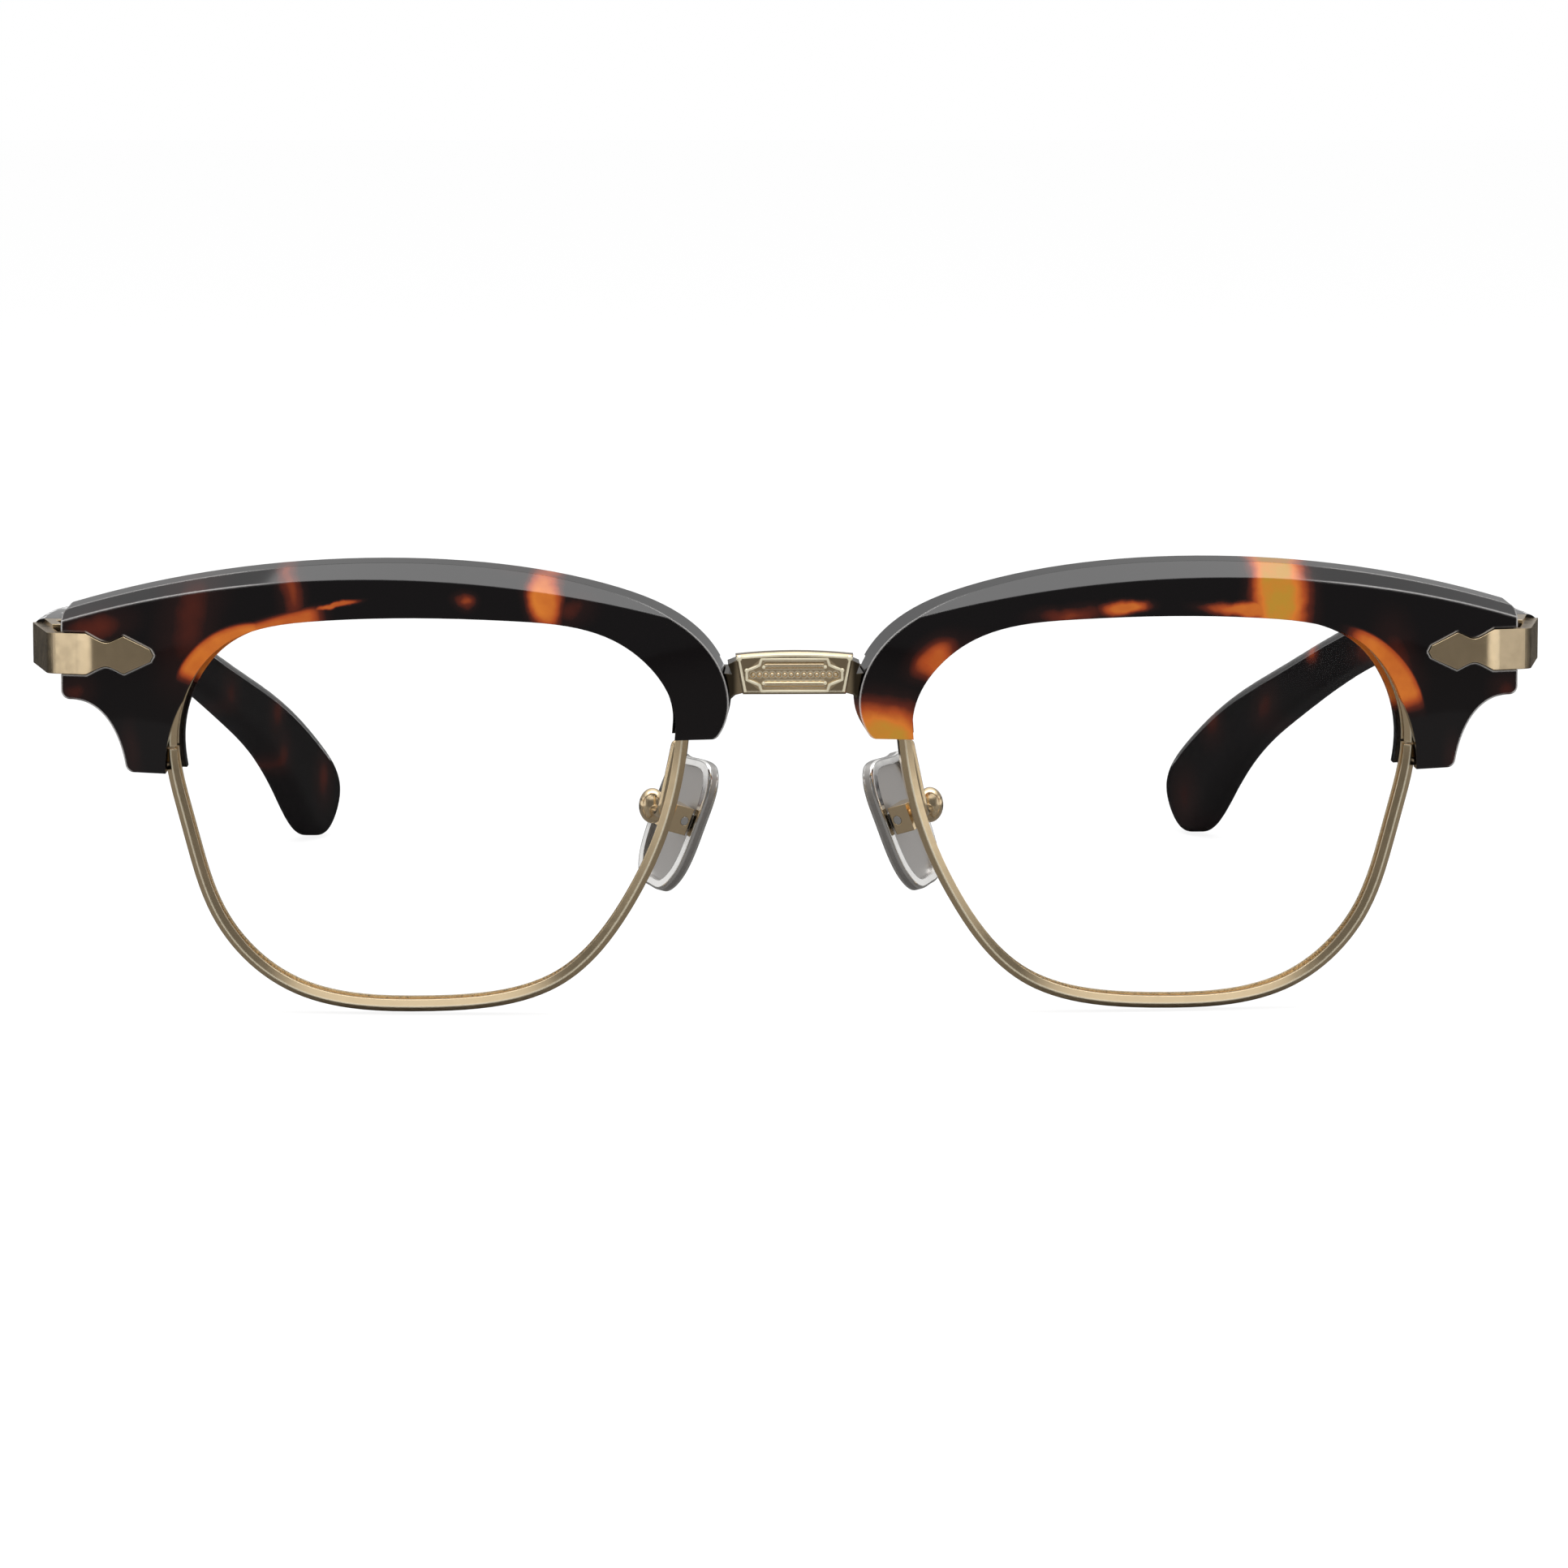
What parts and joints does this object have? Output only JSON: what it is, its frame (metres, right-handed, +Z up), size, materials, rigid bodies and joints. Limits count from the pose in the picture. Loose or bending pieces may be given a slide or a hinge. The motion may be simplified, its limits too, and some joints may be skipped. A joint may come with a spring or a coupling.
{
  "type": "browline glasses",
  "caption": "Browline glasses with metal rims under tortoiseshell brows, folding temples, rocking nose pads and clear lenses.",
  "frame": {"origin": "on the table under the middle of the open glasses: centre of the bounding box in plan, at its lowest level", "axes": "+X towards the wearer's left (right in the picture), +Y from the front back along the temples, +Z up; the front faces -Y"},
  "size_m": [0.1462, 0.144, 0.0435],
  "materials": {
    "champagne_gold": "polished champagne plating",
    "steel": "turned, bright",
    "tortoise_acetate": "polished, dark tortoiseshell pattern",
    "clear_lens": "clear, polished",
    "satin_titanium": "satin titanium with a polished edge"
  },
  "bodies": {
    "front": {"bridge": "champagne_gold", "left_eyewire": "champagne_gold", "right_eyewire": "champagne_gold", "left_lens": "clear_lens", "right_lens": "clear_lens", "left_block_lower": "champagne_gold", "right_block_lower": "champagne_gold", "left_block_upper": "champagne_gold", "right_block_upper": "champagne_gold", "left_closing_screw": "steel", "right_closing_screw": "steel", "left_brow": "tortoise_acetate", "right_brow": "tortoise_acetate", "left_brow_screw": "steel", "right_brow_screw": "steel", "left_endpiece": "champagne_gold", "right_endpiece": "champagne_gold", "left_rivet_inner": "steel", "right_rivet_inner": "steel", "left_rivet_outer": "steel", "right_rivet_outer": "steel", "left_front_hinge": "champagne_gold", "right_front_hinge": "champagne_gold", "left_hinge_screw": "steel", "right_hinge_screw": "steel", "left_pad_arm": "champagne_gold", "right_pad_arm": "champagne_gold", "left_pad_box": "champagne_gold", "right_pad_box": "champagne_gold", "left_pad_screw": "steel", "right_pad_screw": "steel"},
    "left_temple_arm": {"left_temple_hinge": "champagne_gold", "left_temple_core": "steel", "left_temple": "tortoise_acetate"},
    "right_temple_arm": {"right_temple_hinge": "champagne_gold", "right_temple_core": "steel", "right_temple": "tortoise_acetate"},
    "left_pad": {"left_nose_pad": "satin_titanium"},
    "right_pad": {"right_nose_pad": "satin_titanium"}
  },
  "joints": [
    {"name": "left_temple_fold", "type": "hinge", "parent": "front", "child": "left_temple_arm", "pos_m": [0.06829, -0.0535, 0.03435], "axis": [0, 0, 1], "range_deg": [0, 84]},
    {"name": "right_temple_fold", "type": "hinge", "parent": "front", "child": "right_temple_arm", "pos_m": [-0.06829, -0.0535, 0.03435], "axis": [0, 0, -1], "range_deg": [0, 78]},
    {"name": "left_pad_rock", "type": "hinge", "parent": "front", "child": "left_pad", "pos_m": [0.01091, -0.06078, 0.01796], "axis": [0.5118, 0.8387, 0.1863], "range_deg": [-8, 8]},
    {"name": "right_pad_rock", "type": "hinge", "parent": "front", "child": "right_pad", "pos_m": [-0.01091, -0.06078, 0.01796], "axis": [-0.5118, 0.8387, 0.1863], "range_deg": [-8, 8]}
  ]
}
